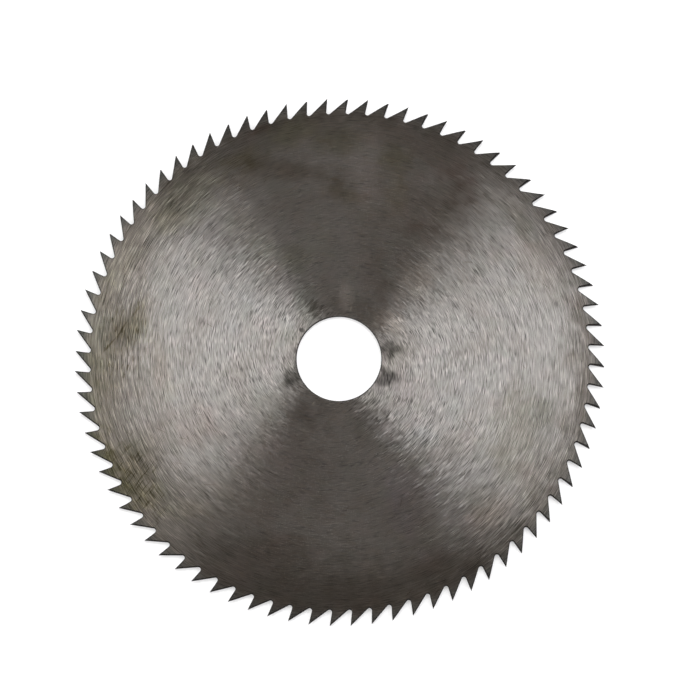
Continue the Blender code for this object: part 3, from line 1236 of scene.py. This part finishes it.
@dataclass(frozen=True)
class GroundSteel:
    """The finish of the blade's faces: steel ground with leaning marks, filmed and stained by use, and
    darkened towards the cut edges, partly as painted shade.
    """

    effects: Effects
    picture_turn: float
    colour: Colour = (0.42, 0.40, 0.38)
    edge_and_shade_colour: Colour = (0.020, 0.018, 0.016)
    base_circle: float = 5.9 * MILLIMETRE
    roughness: float = 0.38
    anisotropy: float = 1.0
    metal: float = 0.93
    colour_in_marks: float = 0.50
    metal_in_marks: float = 0.06
    lean_in_marks: float = 0.14
    lean_width: float = 0.37 * MILLIMETRE
    lean_length: float = 2.4 * MILLIMETRE
    lean_crispness: float = 5.0
    mark_depth: float = 3e-6
    darkest_level: float = 0.1
    patch_size: float = 3.0 * MILLIMETRE
    patch_weak: Pair = (0.30, 0.60)
    patch_strong: Pair = (0.70, 1.40)
    waver_size: float = 5.0 * MILLIMETRE
    waver_reach: float = 1.6
    edge_shade_from: Pair = (0.35, 0.0)
    edge_shade_whole: Pair = (1.0, 0.9)
    edge_shade_metal: float = 0.4
    fine_layers: tuple[Marks, ...] = (
        Marks(width=0.36 * MILLIMETRE, length=2.4 * MILLIMETRE, strength=0.5, crispness=7.0),
        Marks(
            width=0.33 * MILLIMETRE,
            length=1.9 * MILLIMETRE,
            strength=0.5,
            crispness=7.0,
            base_circle=9.0 * MILLIMETRE,
        ),
    )
    broad_layers: tuple[Marks, ...] = (
        Marks(width=0.9 * MILLIMETRE, length=9.0 * MILLIMETRE, strength=0.06),
        Marks(width=3.0 * MILLIMETRE, length=30.0 * MILLIMETRE, strength=0.14),
    )
    clouds: tuple[Cloud, ...] = (
        Cloud(size=16.0 * MILLIMETRE, low=0.42, high=0.66, tint=(0.91, 0.89, 0.87)),
        Cloud(size=7.0 * MILLIMETRE, low=0.45, high=0.70, tint=(0.94, 0.96, 0.94)),
        Cloud(size=11.0 * MILLIMETRE, low=0.50, high=0.72, tint=(1.08, 1.05, 1.06)),
        Cloud(size=0.55 * MILLIMETRE, low=0.62, high=0.74, tint=(0.80, 0.80, 0.80)),
    )
    scratches: tuple[Scratches, ...] = (
        Scratches(
            Marks(width=0.60 * MILLIMETRE, length=6.0 * MILLIMETRE, base_circle=9.0 * MILLIMETRE),
            above=0.25,
            whole=0.31,
            tint=(1.30, 1.30, 1.30),
        ),
        Scratches(
            Marks(width=0.55 * MILLIMETRE, length=5.0 * MILLIMETRE, base_circle=3.0 * MILLIMETRE),
            above=0.25,
            whole=0.31,
            tint=(0.74, 0.74, 0.73),
        ),
        Scratches(
            Marks(width=0.60 * MILLIMETRE, length=6.0 * MILLIMETRE, base_circle=48.0 * MILLIMETRE),
            above=0.31,
            whole=0.35,
            tint=(0.72, 0.70, 0.66),
        ),
    )
    tooth_from: float = 93.4 * MILLIMETRE
    tooth_whole: float = 99.0 * MILLIMETRE
    tooth_colour: Colour = (0.098, 0.098, 0.092)
    tooth_metal: float = 0.7
    tooth_mottle: Cloud = Cloud(size=0.9 * MILLIMETRE, low=0.35, high=0.65, tint=(0.6, 0.6, 0.6))

    def tangent(self, bench: Bench, place: object, stray: object) -> Socket:
        """The direction across the marks, along which the steel scatters light most.

        Formula: the radial direction turned counter-clockwise by the marks' lean, whose sine is the base
        circle's radius over the radius, and a little more or less from mark to mark.

        Args:
            bench: the material's bench.
            place: the object coordinates.
            stray: what each mark adds to the sine.

        Returns:
            The direction in world space.
        """
        x, y, _ = bench.split(place)
        radius = bench.plan_radius(x, y)
        lean = bench.math("ADD", bench.math("DIVIDE", self.base_circle, radius), stray)
        sin = bench.math("MINIMUM", lean, 1.0)
        cos = bench.math("SQRT", bench.math("SUBTRACT", 1.0, bench.math("MULTIPLY", sin, sin)))
        across = bench.join(*bench.spun(x, y, cos, sin), 0.0)
        spaces = {"vector_type": "VECTOR", "convert_from": "OBJECT", "convert_to": "WORLD"}
        return bench.add("ShaderNodeVectorTransform", {0: across}, **spaces).outputs[0]

    def stained(
        self, bench: Bench, place: object, seen: object, shift: object, colour: object
    ) -> Socket:
        """The plate's colour under clouds, scratches, the rim's film and the stains.

        Args:
            bench: the material's bench.
            place: the object coordinates.
            seen: the same, turned as the blade lies in the photograph.
            shift: how far the edges of film and stains are moved here, which makes them streaky.
            colour: the clean plate's colour.

        Returns:
            The colour.
        """
        for cloud in self.clouds:
            colour = cloud.lay(bench, self.effects, place, colour)
        for scratches in self.scratches:
            colour = scratches.lay(bench, self.effects, place, colour)
        rim = RIM_FILM.share(bench, seen, shift)
        colour = bench.tint(colour, RIM_FILM.tint, rim, "MULTIPLY")
        colour = bench.tint(colour, RIGHT_FILM.tint, RIGHT_FILM.share(bench, seen, shift), "MULTIPLY")
        # The rim's strokes are strongest right and left, where the highlights fall: painted highlight and
        # shade laid on the strokes
        across, _, _ = bench.split(seen)
        aside = bench.math("DIVIDE", bench.math("ABSOLUTE", across), bench.vector_math("LENGTH", seen))
        streaky = bench.scaled(aside, HIGHLIT_STROKES_FROM, HIGHLIT_STROKES_WHOLE)
        share = bench.math("MULTIPLY", bench.math("MULTIPLY", rim, STROKES_IN_FILM, clamp=True), streaky)
        for marks, tint in zip(RIM_STROKES, (DARK_STROKE, LIGHT_STROKE)):
            noise = marks.lay(bench, self.effects, place)
            strokes = bench.scaled(noise, (STROKE_FROM, 0.0), (STROKE_WHOLE, 1.0))
            colour = bench.tint(colour, tint, bench.math("MULTIPLY", strokes, share), "MULTIPLY")
        for mark in (*STAINS, *HATCHINGS):
            colour = mark.lay(bench, self.effects, seen, shift, colour)
        return colour

    def build(self) -> bpy.types.Material:
        """Make the material.

        Returns:
            The material.
        """
        material = bpy.data.materials.new("ground steel faces")
        material.use_nodes = True
        bench = Bench(material.node_tree)
        shader = material.node_tree.nodes["Principled BSDF"]
        place = bench.add("ShaderNodeTexCoord").outputs["Object"]
        x, y, _ = bench.split(place)
        radius = bench.plan_radius(x, y)
        fine = bench.total([layer.lay(bench, self.effects, place) for layer in self.fine_layers])
        patches = bench.noise(place, 1.0 / self.patch_size, detail=1.0)
        patchy = bench.scaled(patches, self.patch_weak, self.patch_strong)
        fine = bench.math("MULTIPLY", fine, patchy)
        broad = bench.total([layer.lay(bench, self.effects, place) for layer in self.broad_layers])
        tone = bench.math("ADD", bench.math("MULTIPLY", fine, self.colour_in_marks), broad)
        level = bench.math("MAXIMUM", bench.math("ADD", tone, 1.0), self.darkest_level)

        tooth = bench.scaled(radius, (self.tooth_from, 0.0), (self.tooth_whole, 1.0))
        plate = bench.brightened(self.colour, level)
        seen = bench.rotated(place, self.picture_turn)
        waver = bench.math("SUBTRACT", bench.noise(place, 1.0 / self.waver_size), 0.5)
        shift = bench.math("ADD", bench.math("MULTIPLY", waver, self.waver_reach), broad)
        plate = self.stained(bench, place, seen, shift, plate)
        filed = bench.brightened(self.tooth_colour, level)
        teeth = self.tooth_mottle.lay(bench, self.effects, place, filed)
        colour = bench.tint(plate, teeth, tooth)
        for stain in TOOTH_STAINS:
            colour = stain.lay(bench, self.effects, seen, shift, colour)

        # Darker towards the cut edges: a thin dark outline, and along the rim the rest of the band of
        # painted shade that is widest on the camera's near side
        edge = bench.add("ShaderNodeAttribute", attribute_name="edge").outputs["Fac"]
        dark_edge_and_shade = bench.scaled(edge, self.edge_shade_from, self.edge_shade_whole)
        bench.feed(shader.inputs["Base Color"], bench.tint(colour, self.edge_and_shade_colour, dark_edge_and_shade))

        metal = bench.math("ADD", bench.math("MULTIPLY", fine, self.metal_in_marks), self.metal, clamp=True)
        whole = bench.mixed(metal, self.tooth_metal, tooth)
        bench.feed(shader.inputs["Metallic"], bench.mixed(whole, self.edge_shade_metal, dark_edge_and_shade))
        leaning = bench.mark_place(place, self.base_circle, self.lean_width, self.lean_length)
        lean = bench.crisp(bench.noise(leaning, 1.0, detail=0.0), self.lean_crispness)
        stray = bench.math("MULTIPLY", bench.math("MULTIPLY", lean, patchy), self.lean_in_marks)
        bench.feed(shader.inputs["Tangent"], self.tangent(bench, place, stray))
        shader.inputs["Roughness"].default_value = self.roughness
        shader.inputs["Anisotropic"].default_value = self.anisotropy
        bump = bench.add("ShaderNodeBump", {"Height": fine, "Distance": self.mark_depth, "Strength": 1.0})
        bench.feed(shader.inputs["Normal"], bump.outputs[0])
        return material


@dataclass(frozen=True)
class CutSteelAndShade:
    """The finish of the teeth's fronts and backs, the gullets and the bore: cut and darkened, made near
    black as painted shade, and also laid as the band of painted shade along the rim's faces.
    """

    effects: Effects
    # Near black, as darkened steel and as painted shade: grey steel walls in shade look this dark
    colour: Colour = (0.006, 0.005, 0.005)
    worn_colour: Colour = (0.016, 0.014, 0.012)
    cloud_size: float = 0.8 * MILLIMETRE
    roughness: float = 0.6
    specular: float = 0.10

    def build(self) -> bpy.types.Material:
        """Make the material.

        Returns:
            The material.
        """
        material = bpy.data.materials.new("cut steel and painted shade")
        material.use_nodes = True
        bench = Bench(material.node_tree)
        shader = material.node_tree.nodes["Principled BSDF"]
        place = bench.add("ShaderNodeTexCoord").outputs["Object"]
        film = bench.add("ShaderNodeGroup", node_tree=self.effects.film)
        bench.feed(film.inputs["Vector"], place)
        bench.feed(film.inputs["Size"], self.cloud_size)
        colour = bench.tint(self.colour, self.worn_colour, film.outputs["Mask"])
        bench.feed(shader.inputs["Base Color"], colour)
        shader.inputs["Roughness"].default_value = self.roughness
        shader.inputs["Specular IOR Level"].default_value = self.specular
        return material


@dataclass(frozen=True)
class SoftBox:
    """A large soft lamp that faces the blade's centre."""

    name: str
    azimuth: float
    elevation: float
    distance: float
    width: float
    height: float
    watts: float
    colour: Colour = WHITE
    shines: bool = True

    def build(self) -> bpy.types.Object:
        """Put up the lamp, unseen by the camera itself.

        Returns:
            The lamp's object.
        """
        lamp = bpy.data.lights.new(self.name, "AREA")
        lamp.shape = "RECTANGLE"
        lamp.size, lamp.size_y = self.width, self.height
        lamp.energy = self.watts
        lamp.color = self.colour
        box = bpy.data.objects.new(self.name, lamp)
        level, rise = math.cos(self.elevation), math.sin(self.elevation)
        towards = Vector((math.sin(self.azimuth) * level, math.cos(self.azimuth) * level, rise))
        box.location = towards * self.distance
        box.rotation_euler = towards.to_track_quat("Z", "Y").to_euler()
        box.visible_camera = False
        box.visible_glossy = self.shines
        bpy.context.collection.objects.link(box)
        return box


@dataclass(frozen=True)
class Studio:
    """A white floor, a dim warm room with a white horizon, and the lamps."""

    picture_turn: float
    floor_size: float = 8.0
    floor_colour: Colour = (0.56, 0.56, 0.56)
    floor_glow: float = 0.45
    glow_from: float = 0.15
    glow_whole: float = 0.45
    room_colour: Colour = (0.100, 0.085, 0.072)
    white_below: float = math.sin(math.radians(8.0))
    room_above: float = math.sin(math.radians(20.0))
    lamp_elevation: float = math.radians(42.0)
    lamp_distance: float = 0.95
    right_lamp_turn: float = math.radians(86.8)
    left_lamp_turn: float = math.radians(266.8)
    right_lamp_colour: Colour = (0.985, 1.0, 1.045)
    left_lamp_colour: Colour = WHITE
    lamp_width: float = 1.3
    lamp_height: float = 0.55
    lamp_watts: float = 7.0
    far_turn: float = math.radians(10.0)
    far_elevation: float = math.radians(66.0)
    far_size: float = 0.60
    far_watts: float = 7.0

    def backdrop_rays(self, bench: Bench) -> tuple[Socket, Socket]:
        """Whether a ray comes from the camera, and whether it comes off metal or through glass.

        Args:
            bench: the bench of the world or of a material.

        Returns:
            Two masks, 0 or 1.
        """
        path = bench.add("ShaderNodeLightPath").outputs
        shine = bench.math("ADD", path["Is Glossy Ray"], path["Is Transmission Ray"], clamp=True)
        return path["Is Camera Ray"], shine

    def build_world(self) -> None:
        """White where the camera looks and near the horizon, and the dim room overhead."""
        world = bpy.data.worlds.new("studio")
        world.use_nodes = True
        bpy.context.scene.world = world
        bench = Bench(world.node_tree)
        camera, shine = self.backdrop_rays(bench)
        _, _, rise = bench.split(bench.add("ShaderNodeTexCoord").outputs["Generated"])
        low = bench.scaled(rise, (self.white_below, 1.0), (self.room_above, 0.0))
        white = bench.math("ADD", camera, bench.math("MULTIPLY", shine, low), clamp=True)
        colour = bench.tint(self.room_colour, WHITE, white)
        bench.feed(world.node_tree.nodes["Background"].inputs["Color"], colour)

    def build_floor(self, level: float) -> bpy.types.Object:
        """Lay the white floor, which glows a little where the camera or metal sees it, and more far away.

        Args:
            level: the floor's height.

        Returns:
            The floor's object.
        """
        half = self.floor_size / 2
        corners = [(-half, -half, level), (half, -half, level), (half, half, level), (-half, half, level)]
        mesh = bpy.data.meshes.new("floor")
        mesh.from_pydata(corners, [], [(0, 1, 2, 3)])
        floor = bpy.data.objects.new("floor", mesh)
        bpy.context.collection.objects.link(floor)
        material = bpy.data.materials.new("white floor")
        material.use_nodes = True
        bench = Bench(material.node_tree)
        shader = material.node_tree.nodes["Principled BSDF"]
        bench.feed(shader.inputs["Base Color"], self.floor_colour)
        shader.inputs["Roughness"].default_value = 1.0
        shader.inputs["Specular IOR Level"].default_value = 0.0
        camera, shine = self.backdrop_rays(bench)
        seen = bench.math("ADD", camera, shine, clamp=True)
        away = bench.vector_math("LENGTH", bench.add("ShaderNodeTexCoord").outputs["Object"])
        glow = bench.scaled(away, (self.glow_from, self.floor_glow), (self.glow_whole, 1.0))
        bench.feed(shader.inputs["Emission Strength"], bench.math("MULTIPLY", seen, glow))
        bench.feed(shader.inputs["Emission Color"], WHITE)
        mesh.materials.append(material)
        return floor

    def build(self, level: float) -> None:
        """Build the world, the floor and the lamps.

        Args:
            level: the floor's height.
        """
        self.build_world()
        self.build_floor(level)
        for name, turn, colour in (
            ("right soft box", self.right_lamp_turn, self.right_lamp_colour),
            ("left soft box", self.left_lamp_turn, self.left_lamp_colour),
        ):
            SoftBox(
                name=name,
                azimuth=turn + self.picture_turn,
                elevation=self.lamp_elevation,
                distance=self.lamp_distance,
                width=self.lamp_width,
                height=self.lamp_height,
                watts=self.lamp_watts,
                colour=colour,
            ).build()
        SoftBox(
            name="far lamp",
            azimuth=self.far_turn + self.picture_turn,
            elevation=self.far_elevation,
            distance=self.lamp_distance,
            width=self.far_size,
            height=self.far_size,
            watts=self.far_watts,
            shines=False,
        ).build()


@dataclass(frozen=True)
class PhotoCamera:
    """The camera of the photograph: above the blade, tipped a little towards its near side."""

    distance: float = 0.74541
    tilt: float = math.radians(6.2177)
    roll: float = math.radians(12.8438)
    swing: float = math.radians(1.2323)
    lens: float = 101.602
    sensor: float = 36.0
    aside: float = -0.00418
    upward: float = -0.00334

    @property
    def picture_turn(self) -> float:
        """How far clockwise of +Y the blade's direction lies that points up in the picture."""
        return self.roll - self.swing

    def build(self) -> bpy.types.Object:
        """Make the camera and use it.

        Formula: its right, up and forward directions follow from tilt and roll. It stands so that the
        blade's centre lies the given way aside, upward and ahead, and all is swung about the axis.

        Returns:
            The camera's object.
        """
        cos_tilt, sin_tilt = math.cos(self.tilt), math.sin(self.tilt)
        cos_roll, sin_roll = math.cos(self.roll), math.sin(self.roll)
        right = Vector((cos_roll, -sin_roll * cos_tilt, -sin_roll * sin_tilt))
        up = Vector((sin_roll, cos_roll * cos_tilt, cos_roll * sin_tilt))
        forward = Vector((0.0, sin_tilt, -cos_tilt))
        place = -self.aside * right - self.upward * up - self.distance * forward
        axes = Matrix((right, up, -forward)).transposed().to_4x4()
        axes.translation = place
        data = bpy.data.cameras.new("photo camera")
        data.lens, data.sensor_width = self.lens, self.sensor
        camera = bpy.data.objects.new("photo camera", data)
        camera.matrix_world = Matrix.Rotation(self.swing, 4, "Z") @ axes
        bpy.context.collection.objects.link(camera)
        bpy.context.scene.camera = camera
        return camera


def main() -> None:
    """Build the camera, the studio and the blade, and dress it."""
    bpy.context.scene.view_settings.view_transform = "Standard"
    camera = PhotoCamera()
    camera.build()
    Studio(picture_turn=camera.picture_turn).build(level=CAD_BOX[0].z)
    log.info("studio and camera stand")

    saw = SawBlade(near_turn=camera.picture_turn)
    blade = saw.build()
    effects = Effects()
    saw.dress(blade, GroundSteel(effects, camera.picture_turn).build(), CutSteelAndShade(effects).build())
    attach(blade, BODY)
    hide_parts(CAD_NODE)
    log.info("blade: %d faces", len(blade.data.polygons))


if __name__ == "__main__":
    main()
